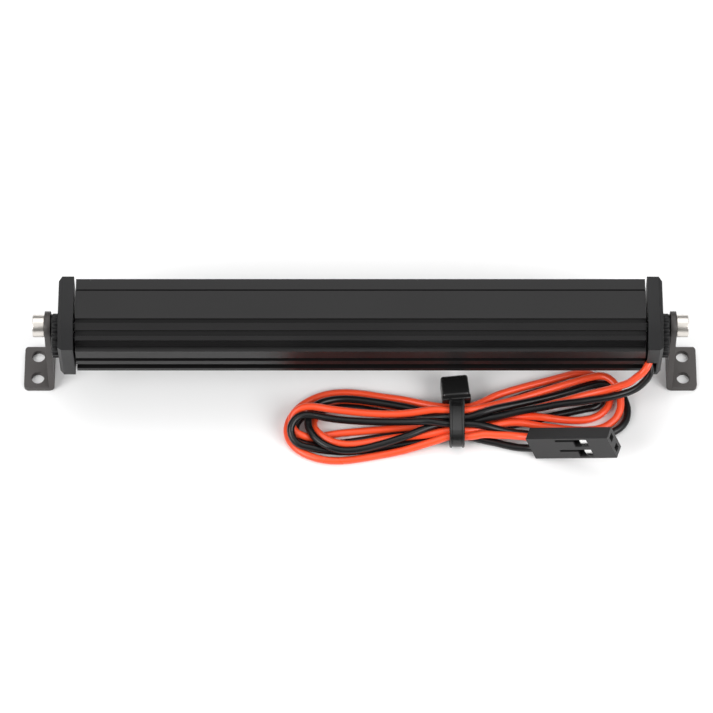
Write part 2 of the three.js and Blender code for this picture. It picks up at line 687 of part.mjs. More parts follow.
/** The ring of the tie in (y, z), between two sizes. */
function tieRing(inset, outset, halfLength) {
  const slab = (margin, reach) => {
    const half = TIE_INNER_HEIGHT / 2 + margin;
    const flat = TIE_INNER_HALF_WIDTH - TIE_INNER_HEIGHT / 2;
    const middle = TIE_THICKNESS + TIE_INNER_HEIGHT / 2;
    const shape = new THREE.Shape();
    shape.absarc(TIE_CENTRE_Y + flat, middle, half, -Math.PI / 2, Math.PI / 2);
    shape.absarc(TIE_CENTRE_Y - flat, middle, half, Math.PI / 2, 1.5 * Math.PI);
    return alongX(shape, TIE_X - reach, TIE_X + reach, 6);
  };
  return cut(slab(outset, halfLength), slab(inset, halfLength + OVERRUN));
}

/** The strap of the cable tie. */
function tieStrap() {
  return tieRing(0, TIE_THICKNESS, TIE_WIDTH / 2);
}

/** The space that the strap and a gap round it take out of its neighbours. */
function tieSpace() {
  return tieRing(-CORD_GAP, TIE_THICKNESS + CORD_GAP, TIE_WIDTH / 2 + CORD_GAP);
}

/** The tie's locking head, on the far side of the bundle. */
function tieHead() {
  const near = TIE_CENTRE_Y + TIE_INNER_HALF_WIDTH - CORD_GAP;
  const half = TIE_HEAD_WIDTH / 2;
  const box = block([TIE_X - half, near, TIE_THICKNESS],
    [TIE_X + half, near + TIE_HEAD_DEPTH, TIE_THICKNESS + TIE_HEAD_HEIGHT]);
  const reach = half + OVERRUN;
  const ring = tieRing(-TIE_INNER_HEIGHT / 3, TIE_THICKNESS + CORD_GAP, reach);
  return cut(box, ring);
}

/** The bundle, cut back where the strap crosses it. */
function hank() {
  const head = block(
    [TIE_X - TIE_HEAD_WIDTH / 2 - CORD_GAP, TIE_CENTRE_Y + TIE_INNER_HALF_WIDTH - 2 * CORD_GAP,
      HANK_BOTTOM - OVERRUN],
    [TIE_X + TIE_HEAD_WIDTH / 2 + CORD_GAP, 0, HANK_TOP + OVERRUN]);
  return cut(alongZ(hankOutline(), HANK_BOTTOM, HANK_TOP, 6), tieSpace(), head);
}

// ---------------------------------------------------------------- plug

/**
 * The two-pole plug shell about its lower rear corner: length, thickness and height along XYZ.
 * Each pole has a cavity open at the rear, a square socket at the front, and in the near wall
 * a window beyond a latch tongue that a slit frees along its upper edge.
 */
function plugShell() {
  const shell = block([0, 0, 0], [PLUG_LENGTH, PLUG_THICKNESS, PLUG_HEIGHT]);
  const middle = PLUG_THICKNESS / 2;
  const half = PLUG_SOCKET / 2;
  const [low, high] = [PLUG_WALL, PLUG_THICKNESS - PLUG_WALL];
  const cuts = poles().flatMap((z) => {
    const [bottom, top] = [z - CAVITY_HEIGHT / 2, z + CAVITY_HEIGHT / 2];
    const tongueEnd = WINDOW_START + WINDOW_TONGUE;
    const slit = top - WINDOW_EDGE;
    return [
      block([-OVERRUN, low, bottom], [PLUG_LENGTH - PLUG_FRONT, high, top]),
      block([0, middle - half, z - half], [PLUG_LENGTH + OVERRUN, middle + half, z + half]),
      block([WINDOW_START, -OVERRUN, slit - WINDOW_SLIT], [WINDOW_END, middle, slit]),
      block([tongueEnd, -OVERRUN, bottom + WINDOW_EDGE], [WINDOW_END, middle, slit]),
    ];
  });
  return cut(shell, ...cuts);
}

/** Heights of the two contacts in the plug. */
function poles() {
  return [-0.5, 0.5].map((side) => PLUG_HEIGHT / 2 + side * PLUG_PITCH);
}

/** A box-shaped terminal that lies in its cavity, with a bore for the pin. */
function terminal(z) {
  const half = CAVITY_HEIGHT / 2 - FIT;
  const inner = TERMINAL_BORE / 2;
  const middle = PLUG_THICKNESS / 2;
  const end = PLUG_LENGTH - PLUG_FRONT - FIT;
  const box = block([TERMINAL_START, PLUG_WALL + FIT, z - half],
    [end, PLUG_THICKNESS - PLUG_WALL - FIT, z + half]);
  const bore = block([end - TERMINAL_BORE_DEPTH, middle - inner, z - inner],
    [end + OVERRUN, middle + inner, z + inner]);
  return cut(box, bore);
}

// ---------------------------------------------------------------- the whole light bar

const bar = new THREE.Group();

const lamp = new THREE.Group();
lamp.position.set(0, PIVOT_FORWARD, PIVOT_HEIGHT);
bar.add(lamp);

add(lamp, 'housing', housing(), FINISH.anodised());
add(lamp, 'end_cap_right', cap(true), FINISH.capPlastic());
add(lamp, 'end_cap_left', mirrored(cap(false)), FINISH.capPlastic());
addPair(lamp, 'cap_screw_upper', capScrew(...CAP_SCREWS[0]), FINISH.blackSteel);
addPair(lamp, 'cap_screw_lower', capScrew(...CAP_SCREWS[1]), FINISH.blackSteel);

add(lamp, 'circuit_board', circuitBoard(), FINISH.board());
ledPlaces().forEach(([x, w], index) => {
  add(lamp, `led_${String(index + 1).padStart(2, '0')}`, led(x, w), FINISH.phosphor());
});
add(lamp, 'reflector', reflector(), FINISH.chrome());
add(lamp, 'lens_seal', seal(), FINISH.rubber());
add(lamp, 'lens', lens(), FINISH.lens());

addPair(lamp, 'index_pad', indexPad(), FINISH.capPlastic);
addPair(lamp, 'washer', washer(), FINISH.blackSteel);
addPair(lamp, 'pivot_nut', pivotNut(), FINISH.blackSteel);
addPair(lamp, 'pivot_screw', pivotScrew(), FINISH.nickel);

const brackets = new THREE.Group();
brackets.position.copy(lamp.position);
bar.add(brackets);
addPair(brackets, 'bracket', bracket(), FINISH.paintedSteel);

const cord = new THREE.Group();
cord.position.x = HALF_BAR;
bar.add(cord);
add(cord, 'lead_red', cordTube(LEAD_RED), FINISH.redWire());
add(cord, 'lead_black', cordTube(LEAD_BLACK), FINISH.blackWire());
add(cord, 'cord_hank', hank(), FINISH.bundle());
add(cord, 'tail_red', cordTube(TAIL_RED), FINISH.redWire());
add(cord, 'tail_black', cordTube(TAIL_BLACK), FINISH.blackWire());
add(cord, 'tie_strap', tieStrap(), FINISH.nylon());
add(cord, 'tie_head', tieHead(), FINISH.nylon());

const plug = new THREE.Group();
plug.position.set(...PLUG_CORNER);
plug.rotation.set(
  THREE.MathUtils.degToRad(-PLUG_LEAN),
  THREE.MathUtils.degToRad(-PLUG_PITCH_UP),
  THREE.MathUtils.degToRad(PLUG_YAW), 'ZYX');
cord.add(plug);
add(plug, 'plug_shell', plugShell(), FINISH.plug());
poles().forEach((z, index) => {
  add(plug, ['terminal_black', 'terminal_red'][index], terminal(z), FINISH.tin());
});

export default bar;
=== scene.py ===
"""Looks for the small LED light bar: its finishes, its two tied cores and its table."""

import logging
import math
from dataclasses import dataclass, field
from enum import Enum

import bmesh
import bpy
import numpy as np
from mathutils import Matrix, Vector

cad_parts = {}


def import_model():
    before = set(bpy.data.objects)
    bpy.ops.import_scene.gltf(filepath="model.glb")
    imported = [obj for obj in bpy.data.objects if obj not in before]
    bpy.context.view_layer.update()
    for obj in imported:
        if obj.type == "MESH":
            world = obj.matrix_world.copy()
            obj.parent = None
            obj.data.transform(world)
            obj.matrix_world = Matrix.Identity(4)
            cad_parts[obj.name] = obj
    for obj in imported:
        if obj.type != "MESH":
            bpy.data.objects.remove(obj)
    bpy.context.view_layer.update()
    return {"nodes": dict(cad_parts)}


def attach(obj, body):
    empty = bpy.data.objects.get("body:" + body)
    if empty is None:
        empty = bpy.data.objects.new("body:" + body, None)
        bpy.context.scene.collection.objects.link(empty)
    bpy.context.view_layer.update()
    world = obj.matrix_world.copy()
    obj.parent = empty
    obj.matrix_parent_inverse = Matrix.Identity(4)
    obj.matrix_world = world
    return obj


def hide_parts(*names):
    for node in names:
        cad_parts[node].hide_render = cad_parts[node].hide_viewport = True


LOG = logging.getLogger("light_bar")
MM = 0.001
Point = tuple[float, float, float]
Colour = tuple[float, float, float]

# The colour of the painted highlight on convex corners, made from the base colour.
EDGE_HIGHLIGHT_GAIN = 2.0
EDGE_HIGHLIGHT_LIFT = 0.05
GRAIN_HEIGHT = 0.0001
PATCH_RANGE = (0.35, 0.65)
# The pointiness over which the painted edge highlight rises.
EDGE_HIGHLIGHT_RANGE = (0.54, 0.66)
WELD_REACH = 2e-6
FLAT_ANGLE = math.radians(0.4)
BEVEL_ANGLE = math.radians(35)
SHARP_ANGLE = math.radians(32)
EDGE_FACETS = 2


# ---------------------------------------------------------------- names shared by the pieces


class Slot(Enum):
    """The finishes that the record names."""

    ANODISED = "anodised"
    CAP_PLASTIC = "cap_plastic"
    BRACKET_STEEL = "bracket_steel"
    NICKEL = "nickel"
    BLACK_STEEL = "black_steel"
    BOARD = "board"
    PHOSPHOR = "phosphor"
    CHROME = "chrome"
    LENS = "lens"
    SEAL = "seal"
    RED_WIRE = "red_wire"
    BLACK_WIRE = "black_wire"
    NYLON = "nylon"
    PLUG = "plug"
    TIN = "tin"


class Body(Enum):
    """The bodies that turn against each other."""

    LAMP = "lamp"
    BRACKET_LEFT = "bracket_left"
    BRACKET_RIGHT = "bracket_right"


class Side(Enum):
    """Which way an end loop lies from the tie, as the sign of X."""

    LEFT = -1
    RIGHT = 1


# ---------------------------------------------------------------- node groups


def opaque(colour: Colour) -> tuple[float, float, float, float]:
    """A colour with full alpha.

    Args:
        colour: The colour, linear.

    Returns:
        The colour with an alpha of 1.
    """
    return (*colour, 1.0)


def grey(value: float) -> tuple[float, float, float, float]:
    """A plain grey with full alpha.

    Args:
        value: The grey's level, linear.

    Returns:
        The grey with an alpha of 1.
    """
    return opaque((value, value, value))


@dataclass(frozen=True)
class GroupBuilder:
    """Makes one named shader node group.

    Attributes:
        name: The group's name.
        inputs: Each input's name, kind of socket and value when nothing sets it.
        outputs: Each output's name and kind of socket.
    """

    name: str
    inputs: tuple[tuple[str, str, object], ...]
    outputs: tuple[tuple[str, str], ...]

    def tree(self) -> bpy.types.ShaderNodeTree:
        """Makes the empty group with its sockets.

        Returns:
            The group's node tree.
        """
        tree = bpy.data.node_groups.new(self.name, "ShaderNodeTree")
        for name, kind, value in self.inputs:
            socket = tree.interface.new_socket(name, in_out="INPUT", socket_type=kind)
            socket.default_value = value
        for name, kind in self.outputs:
            tree.interface.new_socket(name, in_out="OUTPUT", socket_type=kind)
        return tree


def node(tree: bpy.types.NodeTree, kind: str, **settings: object) -> bpy.types.Node:
    """Adds a node to a tree.

    Args:
        tree: The tree that gets the node.
        kind: The node's type name.
        settings: Properties to set on it.

    Returns:
        The new node.
    """
    made = tree.nodes.new(kind)
    for name, value in settings.items():
        setattr(made, name, value)
    return made


def math_node(tree: bpy.types.NodeTree, operation: str, a: object, b: object) -> bpy.types.Node:
    """Adds a math node.

    Args:
        tree: The tree that gets the node.
        operation: What it does with its two inputs.
        a: The first input, a socket or a number.
        b: The second input, a socket or a number.

    Returns:
        The new node.
    """
    made = node(tree, "ShaderNodeMath", operation=operation)
    for index, value in enumerate((a, b)):
        if isinstance(value, bpy.types.NodeSocket):
            tree.links.new(value, made.inputs[index])
        else:
            made.inputs[index].default_value = value
    return made


def ramp(
    tree: bpy.types.NodeTree, value: bpy.types.NodeSocket, reach: tuple[float, float]
) -> bpy.types.Node:
    """Adds a node that rises from 0 to 1 as a value crosses a range.

    Args:
        tree: The tree that gets the node.
        value: The socket that gives the value.
        reach: Where the rise starts and ends.

    Returns:
        The new node.
    """
    rise = node(tree, "ShaderNodeMapRange")
    rise.inputs["From Min"].default_value, rise.inputs["From Max"].default_value = reach
    tree.links.new(value, rise.inputs["Value"])
    return rise


def blend(
    tree: bpy.types.NodeTree, share: bpy.types.NodeSocket, none: bpy.types.NodeSocket,
    full: bpy.types.NodeSocket,
) -> bpy.types.NodeSocket:
    """Adds a node that blends two colours.

    Args:
        tree: The tree that gets the node.
        share: The socket that gives the second colour's share.
        none: The socket that gives the colour at a share of 0.
        full: The socket that gives the colour at a share of 1.

    Returns:
        The socket of the blended colour.
    """
    mix = node(tree, "ShaderNodeMix", data_type="RGBA")
    tree.links.new(share, mix.inputs[0])
    tree.links.new(none, mix.inputs[6])
    tree.links.new(full, mix.inputs[7])
    return mix.outputs[2]


def speckle(tree: bpy.types.NodeTree, detail: float) -> bpy.types.Node:
    """Adds a noise texture, whose Vector and Scale are still to be linked.

    Args:
        tree: The tree that gets the node.
        detail: How many finer layers the noise has.

    Returns:
        The new node.
    """
    noise = node(tree, "ShaderNodeTexNoise")
    noise.inputs["Detail"].default_value = detail
    return noise


def surface_grain() -> bpy.types.ShaderNodeTree:
    """The fine grain of a moulded, drawn or painted surface.

    Returns:
        The group: Stretch and Scale in; Height out.
    """
    tree = GroupBuilder(
        "surface grain",
        (
            ("Stretch", "NodeSocketVector", (1.0, 1.0, 1.0)),
            ("Scale", "NodeSocketFloat", 4000.0),
        ),
        (("Height", "NodeSocketFloat"),),
    ).tree()
    start, end = node(tree, "NodeGroupInput"), node(tree, "NodeGroupOutput")
    place = node(tree, "ShaderNodeTexCoord")
    stretch = node(tree, "ShaderNodeVectorMath", operation="MULTIPLY")
    grain = speckle(tree, 2.0)
    tree.links.new(place.outputs["Object"], stretch.inputs[0])
    tree.links.new(start.outputs["Stretch"], stretch.inputs[1])
    tree.links.new(stretch.outputs[0], grain.inputs["Vector"])
    tree.links.new(start.outputs["Scale"], grain.inputs["Scale"])
    tree.links.new(grain.outputs[0], end.inputs["Height"])
    return tree


def handling() -> bpy.types.ShaderNodeTree:
    """The slow change of tone and gloss over a surface that has been handled.

    Returns:
        The group: Colour, Darker, Scale, Roughness and Change in; Colour and Roughness out.
    """
    tree = GroupBuilder(
        "handling",
        (
            ("Colour", "NodeSocketColor", grey(0.5)),
            ("Darker", "NodeSocketColor", grey(0.4)),
            ("Scale", "NodeSocketFloat", 60.0),
            ("Roughness", "NodeSocketFloat", 0.5),
            ("Change", "NodeSocketFloat", 0.1),
        ),
        (("Colour", "NodeSocketColor"), ("Roughness", "NodeSocketFloat")),
    ).tree()
    start, end = node(tree, "NodeGroupInput"), node(tree, "NodeGroupOutput")
    place = node(tree, "ShaderNodeTexCoord")
    patch = speckle(tree, 4.0)
    tree.links.new(place.outputs["Object"], patch.inputs["Vector"])
    tree.links.new(start.outputs["Scale"], patch.inputs["Scale"])
    spread = ramp(tree, patch.outputs[0], PATCH_RANGE)
    tone = blend(tree, spread.outputs[0], start.outputs["Darker"], start.outputs["Colour"])
    swing = math_node(tree, "SUBTRACT", spread.outputs[0], 0.5)
    change = math_node(tree, "MULTIPLY", swing.outputs[0], start.outputs["Change"])
    rough = math_node(tree, "ADD", start.outputs["Roughness"], change.outputs[0])
    tree.links.new(tone, end.inputs["Colour"])
    tree.links.new(rough.outputs[0], end.inputs["Roughness"])
    return tree


def painted_edge_highlight() -> bpy.types.ShaderNodeTree:
    """A painted highlight: convex corners made lighter in colour, where light would catch them.

    Returns:
        The group: Colour, Edge and Amount in; Colour out.
    """
    tree = GroupBuilder(
        "painted edge highlight",
        (
            ("Colour", "NodeSocketColor", grey(0.5)),
            ("Edge", "NodeSocketColor", grey(0.8)),
            ("Amount", "NodeSocketFloat", 0.3),
        ),
        (("Colour", "NodeSocketColor"),),
    ).tree()
    start, end = node(tree, "NodeGroupInput"), node(tree, "NodeGroupOutput")
    shape = node(tree, "ShaderNodeNewGeometry")
    spread = ramp(tree, shape.outputs["Pointiness"], EDGE_HIGHLIGHT_RANGE)
    highlight_share = math_node(tree, "MULTIPLY", spread.outputs[0], start.outputs["Amount"])
    tone = blend(tree, highlight_share.outputs[0], start.outputs["Colour"], start.outputs["Edge"])
    tree.links.new(tone, end.inputs["Colour"])
    return tree


class Effects:
    """The shared node groups, each made once."""

    def __init__(self) -> None:
        """Makes the groups."""
        self.grain = surface_grain()
        self.handling = handling()
        # A painted highlight on convex corners.
        self.edges = painted_edge_highlight()


# ---------------------------------------------------------------- finishes


@dataclass(frozen=True)
class Finish:
    """One finish of the light bar.

    Attributes:
        name: The material's name.
        colour: The base colour, linear.
        roughness: The mean roughness.
        metallic: 1 for bare metal, 0 for plastic and paint.
        change: How much the roughness changes over the surface.
        shade: The darker patches' share of the base colour.
        grain_scale: Grains per metre.
        grain_depth: How strongly the grain tilts the surface.
        stretch: How the grain is drawn out along X, Y and Z.
        edge: How much lighter convex corners are painted, as a painted edge highlight.
        specular: The specular level.
        transmission: 1 for clear plastic.
        ior: The refractive index.
    """

    name: str
    colour: Colour
    roughness: float
    metallic: float = 0.0
    change: float = 0.08
    shade: float = 0.85
    grain_scale: float = 5000.0
    grain_depth: float = 0.05
    stretch: Point = (1.0, 1.0, 1.0)
    edge: float = 0.15
    specular: float = 0.5
    transmission: float = 0.0
    ior: float = 1.5

    def material(self, effects: Effects) -> bpy.types.Material:
        """Makes the finish as a material.

        Args:
            effects: The shared node groups.

        Returns:
            The new material.
        """
        made = bpy.data.materials.new(self.name)
        made.use_nodes = True
        tree = made.node_tree
        shader = tree.nodes["Principled BSDF"]
        shader.inputs["Metallic"].default_value = self.metallic
        shader.inputs["Specular IOR Level"].default_value = self.specular
        shader.inputs["IOR"].default_value = self.ior
        shader.inputs["Transmission Weight"].default_value = self.transmission
        patches = node(tree, "ShaderNodeGroup", node_tree=effects.handling)
        patches.inputs["Colour"].default_value = opaque(self.colour)
        patches.inputs["Darker"].default_value = opaque(tuple(c * self.shade for c in self.colour))
        patches.inputs["Roughness"].default_value = self.roughness
        patches.inputs["Change"].default_value = self.change
        # Convex corners are given a lighter colour: a painted edge highlight.
        edges = node(tree, "ShaderNodeGroup", node_tree=effects.edges)
        highlight_tone = tuple(min(1.0, c * EDGE_HIGHLIGHT_GAIN + EDGE_HIGHLIGHT_LIFT) for c in self.colour)
        edges.inputs["Edge"].default_value = opaque(highlight_tone)
        edges.inputs["Amount"].default_value = self.edge
        grain = node(tree, "ShaderNodeGroup", node_tree=effects.grain)
        grain.inputs["Stretch"].default_value = self.stretch
        grain.inputs["Scale"].default_value = self.grain_scale
        bump = node(tree, "ShaderNodeBump")
        bump.inputs["Strength"].default_value = self.grain_depth
        bump.inputs["Distance"].default_value = GRAIN_HEIGHT
        tree.links.new(patches.outputs["Colour"], edges.inputs["Colour"])
        tree.links.new(edges.outputs["Colour"], shader.inputs["Base Color"])
        tree.links.new(patches.outputs["Roughness"], shader.inputs["Roughness"])
        tree.links.new(grain.outputs["Height"], bump.inputs["Height"])
        tree.links.new(bump.outputs["Normal"], shader.inputs["Normal"])
        return made


# Each edge value is how strongly convex corners get the painted highlight.
FINISHES: dict[Slot, Finish] = {
    Slot.ANODISED: Finish(
        "satin anodised aluminium", (0.0075, 0.0072, 0.0074), 0.33, metallic=0.1, edge=0.12,
        grain_scale=2500.0, grain_depth=0.1, stretch=(0.1, 1.0, 1.0), specular=0.24,
    ),
    Slot.CAP_PLASTIC: Finish(
        "moulded cap plastic", (0.008, 0.008, 0.0085), 0.42, grain_depth=0.16,
        grain_scale=6000.0, edge=0.1, specular=0.24,
    ),
    Slot.BRACKET_STEEL: Finish(
        "dull plated steel", (0.065, 0.059, 0.057), 0.5, metallic=0.3, grain_depth=0.25,
        grain_scale=4000.0, edge=0.15,
    ),
    Slot.NICKEL: Finish(
        "bright nickel", (0.7, 0.665, 0.62), 0.34, metallic=1.0, shade=0.95, grain_depth=0.03,
    ),
    Slot.BLACK_STEEL: Finish("blackened steel", (0.02, 0.02, 0.02), 0.4, metallic=0.7),
    Slot.BOARD: Finish("white solder mask", (0.8, 0.8, 0.76), 0.45, shade=0.95, edge=0.0),
    Slot.PHOSPHOR: Finish("yellow phosphor", (0.82, 0.58, 0.08), 0.5, grain_depth=0.1, edge=0.0),
    Slot.CHROME: Finish(
        "bright plated reflector", (0.85, 0.86, 0.87), 0.1, metallic=1.0, shade=0.97,
        change=0.03, grain_depth=0.01,
    ),
    Slot.LENS: Finish(
        "clear lens", (0.96, 0.98, 0.99), 0.04, change=0.02, shade=0.99, grain_depth=0.005,
        edge=0.0, transmission=1.0, ior=1.49,
    ),
    Slot.SEAL: Finish("black rubber", (0.012, 0.012, 0.012), 0.75, edge=0.0),
    Slot.RED_WIRE: Finish(
        "red wire skin", (0.95, 0.085, 0.025), 0.3, shade=0.93, grain_depth=0.03,
        grain_scale=1500.0, edge=0.0,
    ),
    Slot.BLACK_WIRE: Finish(
        "black wire skin", (0.006, 0.006, 0.0065), 0.27, grain_depth=0.03, grain_scale=1500.0,
        edge=0.0, specular=0.35,
    ),
    Slot.NYLON: Finish("black nylon", (0.008, 0.008, 0.008), 0.26, grain_depth=0.02, edge=0.2),
    Slot.PLUG: Finish(
        "grey-black plug plastic", (0.018, 0.0175, 0.018), 0.4, grain_depth=0.1, edge=0.1,
        specular=0.35,
    ),
    Slot.TIN: Finish("tinned brass", (0.85, 0.85, 0.84), 0.25, metallic=1.0, shade=0.92),
}


class Paintbox:
    """Gives each slot's material, made when it is first asked for."""

    def __init__(self) -> None:
        """Makes the shared node groups."""
        self.effects = Effects()
        self.made: dict[Slot, bpy.types.Material] = {}

    def __getitem__(self, slot: Slot) -> bpy.types.Material:
        """The material of a slot.

        Args:
            slot: The slot.

        Returns:
            Its material.
        """
        if slot not in self.made:
            self.made[slot] = FINISHES[slot].material(self.effects)
        return self.made[slot]


# ---------------------------------------------------------------- placing pieces


def placed(
    piece: bpy.types.Object, paint: Paintbox, slot: Slot, body: Body = Body.LAMP
) -> bpy.types.Object:
    """Gives a new piece its finish and its body.

    Args:
        piece: The new piece, in place.
        paint: The materials.
        slot: Its finish.
        body: The body that it moves with.

    Returns:
        The same piece.
    """
    piece.data.materials.clear()
    piece.data.materials.append(paint[slot])
    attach(piece, body.value)
    return piece


def object_of(mesh: bmesh.types.BMesh, name: str, smooth: bool = True) -> bpy.types.Object:
    """Turns a mesh under construction into an object of the scene.

    Args:
        mesh: The mesh, which is freed.
        name: The object's name.
        smooth: Whether its faces are shaded smoothly.

    Returns:
        The new object.
    """
    bmesh.ops.recalc_face_normals(mesh, faces=mesh.faces)
    data = bpy.data.meshes.new(name)
    mesh.to_mesh(data)
    mesh.free()
    if smooth:
        data.shade_smooth()
    made = bpy.data.objects.new(name, data)
    bpy.context.scene.collection.objects.link(made)
    return made


def soften(piece: bpy.types.Object, width: float) -> None:
    """Rounds a piece's sharp edges a little and shades it smoothly.

    Args:
        piece: The mesh object.
        width: The width of the rounding, in metres, or 0 for none.
    """
    weld = piece.modifiers.new("weld", "WELD")
    weld.merge_threshold = WELD_REACH
    plane = piece.modifiers.new("flat faces", "DECIMATE")
    plane.decimate_type = "DISSOLVE"
    plane.angle_limit = FLAT_ANGLE
    if width > 0:
        bevel = piece.modifiers.new("rounded edges", "BEVEL")
        bevel.width = width
        bevel.segments = EDGE_FACETS
        bevel.limit_method = "ANGLE"
        bevel.angle_limit = BEVEL_ANGLE
    shade = piece.modifiers.new("smooth shading", "NODES")
    shade.node_group = smooth_by_angle()
    normals = piece.modifiers.new("flat normals", "WEIGHTED_NORMAL")
    normals.keep_sharp = True


def smooth_by_angle() -> bpy.types.GeometryNodeTree:
    """The node group that shades smooth and keeps edges sharper than SHARP_ANGLE.

    Returns:
        The group, made when it is first asked for.
    """
    name = "smooth but for sharp edges"
    if name in bpy.data.node_groups:
        return bpy.data.node_groups[name]
    tree = bpy.data.node_groups.new(name, "GeometryNodeTree")
    tree.interface.new_socket("Geometry", in_out="INPUT", socket_type="NodeSocketGeometry")
    tree.interface.new_socket("Geometry", in_out="OUTPUT", socket_type="NodeSocketGeometry")
    start, end = node(tree, "NodeGroupInput"), node(tree, "NodeGroupOutput")
    angle = node(tree, "GeometryNodeInputMeshEdgeAngle")
    blunt = node(tree, "FunctionNodeCompare", operation="LESS_THAN")
    blunt.inputs["B"].default_value = SHARP_ANGLE
    faces = node(tree, "GeometryNodeSetShadeSmooth", domain="FACE")
    edges = node(tree, "GeometryNodeSetShadeSmooth", domain="EDGE")
    tree.links.new(angle.outputs["Unsigned Angle"], blunt.inputs["A"])
    tree.links.new(start.outputs[0], faces.inputs["Geometry"])
    tree.links.new(faces.outputs[0], edges.inputs["Geometry"])
    tree.links.new(blunt.outputs[0], edges.inputs["Shade Smooth"])
    tree.links.new(edges.outputs[0], end.inputs[0])
    return tree


# ---------------------------------------------------------------- the cord's two cores


TIE_MIDDLE = 16.6
TIE_REACH = 1.7
SPAN_SAMPLES = 24


class Row(Enum):
    """The places of the strands where the tie holds them, as (Y, Z) in millimetres."""

    TOP_1 = (-9.2, 3.78)
    TOP_2 = (-10.5, 3.78)
    TOP_3 = (-11.8, 3.6)
    MIDDLE_1 = (-8.1, 2.9)
    MIDDLE_2 = (-9.85, 2.65)
    MIDDLE_3 = (-11.15, 2.65)
    MIDDLE_4 = (-12.45, 2.65)
    MIDDLE_5 = (-13.75, 2.65)
    LOW_1 = (-9.2, 1.52)
    LOW_2 = (-10.5, 1.52)
    LOW_3 = (-11.8, 1.52)
    LOW_4 = (-13.1, 1.52)


@dataclass(frozen=True)
class Run:
    """A strand from the tie out to where it starts to turn.

    Attributes:
        row: Where the tie holds it.
        via: The points on the way out, in millimetres.
        belly: The point where the turn starts, in millimetres.
    """

    row: Row
    via: tuple[Point, ...]
    belly: Point

    def points(self, side: Side) -> list[Point]:
        """The run's points from the tie outwards.

        Args:
            side: Which way the run goes.

        Returns:
            The points, in millimetres.
        """
        y, z = self.row.value
        edge = TIE_MIDDLE + side.value * TIE_REACH
        return [(edge, y, z), *self.via, self.belly]


@dataclass(frozen=True)
class Bight:
    """One end loop of the hank: a run out, a turn of two quarter ellipses, and a run back.

    Attributes:
        side: Which way the loop lies from the tie.
        out: The run that goes out.
        tip: The loop's furthest point, in millimetres.
        back: The run that comes back.
    """

    side: Side
    out: Run
    tip: Point
    back: Run

    def quarter(self, belly: Point) -> list[Point]:
        """The two points between a belly and the tip, on a quarter of an ellipse.

        Args:
            belly: Where the quarter starts.

        Returns:
            The points, in millimetres.
        """
        found = []
        for turn in (math.radians(30), math.radians(60)):
            along, across = math.sin(turn), math.cos(turn)
            found.append((
                belly[0] + (self.tip[0] - belly[0]) * along,
                self.tip[1] + (belly[1] - self.tip[1]) * across,
                self.tip[2] + (belly[2] - self.tip[2]) * across,
            ))
        return found

    def points(self) -> list[Point]:
        """All the loop's points, from the tie and back to it.

        Returns:
            The points, in millimetres.
        """
        return [
            *self.out.points(self.side),
            *self.quarter(self.out.belly),
            self.tip,
            *reversed(self.quarter(self.back.belly)),
            *reversed(self.back.points(self.side)),
        ]


RED_LEAD: list[Point] = [
    (48.95, -5.2, 13.4), (48.75, -6.0, 13.25), (48.0, -6.6, 12.6), (46.95, -6.9, 11.4),
    (45.8, -7.1, 9.8), (44.1, -7.0, 8.3), (42.6, -6.9, 7.1), (40.9, -6.8, 6.0),
    (37.5, -7.0, 4.7), (34.9, -7.5, 3.9), (32.4, -8.0, 3.2), (29.8, -8.7, 2.4),
    (26.9, -9.3, 1.9), (23.9, -9.6, 1.6), (20.4, -10.1, 1.5),
]
BLACK_LEAD: list[Point] = [
    (49.3, -4.9, 12.4), (49.3, -5.7, 12.1), (48.8, -6.7, 10.8), (48.1, -7.2, 9.9),
    (47.2, -7.6, 8.9), (45.3, -7.9, 7.6), (42.2, -8.1, 6.3), (38.3, -8.2, 5.3),
    (34.0, -8.4, 4.8), (31.0, -8.8, 4.2), (27.3, -9.2, 3.4), (23.8, -9.7, 2.9),
    (20.4, -10.3, 2.6),
]
RED_TAIL: list[Point] = [
    (20.6, -13.5, 3.2), (23.2, -13.6, 3.15), (26.1, -13.8, 3.1), (28.3, -14.3, 3.6),
    (31.5, -15.3, 4.9),
]
BLACK_TAIL: list[Point] = [
    (20.6, -13.6, 1.5), (23.2, -14.0, 1.15), (26.4, -14.8, 0.9), (29.4, -15.15, 1.2),
    (32.5, -15.9, 2.6),
]

RED_BIGHTS: list[Bight] = [
    Bight(
        Side.LEFT,
        Run(Row.LOW_2, ((6.8, -11.3, 0.9), (-4.4, -12.5, 0.65)), (-9.2, -13.6, 0.65)),
        (-11.9, -11.2, 1.9),
        Run(Row.TOP_1, ((6.7, -9.7, 3.6), (-4.6, -8.9, 3.3)), (-9.2, -8.9, 3.5)),
    ),
    Bight(
        Side.RIGHT,
        Run(Row.TOP_1, ((23.8, -7.5, 3.6),), (40.9, -2.0, 2.3)),
        (44.7, -7.0, 1.2),
        Run(Row.MIDDLE_4, ((25.5, -10.3, 0.9), (31.6, -10.7, 0.65)), (38.6, -11.4, 0.65)),
    ),
    Bight(
        Side.LEFT,
        Run(Row.MIDDLE_4, ((6.7, -13.4, 1.9),), (-2.1, -15.0, 1.9)),
        (-8.3, -10.5, 1.3),
        Run(Row.LOW_1, ((6.8, -6.8, 1.0),), (-1.8, -5.8, 0.65)),
    ),
    Bight(
        Side.RIGHT,
        Run(Row.LOW_1, ((26.6, -9.7, 1.0),), (37.0, -9.6, 0.65)),
        (42.7, -5.0, 0.65),
        Run(Row.MIDDLE_1, ((23.9, -4.9, 2.4), (30.9, -2.3, 1.7)), (37.8, -0.3, 0.8)),
    ),
    Bight(
        Side.LEFT,
        Run(Row.MIDDLE_1, ((6.8, -5.8, 1.3),), (-3.0, -4.1, 0.65)),
        (-12.4, -11.3, 0.65),
        Run(Row.MIDDLE_5, ((6.7, -15.3, 1.2),), (-3.8, -17.2, 0.65)),
    ),
]
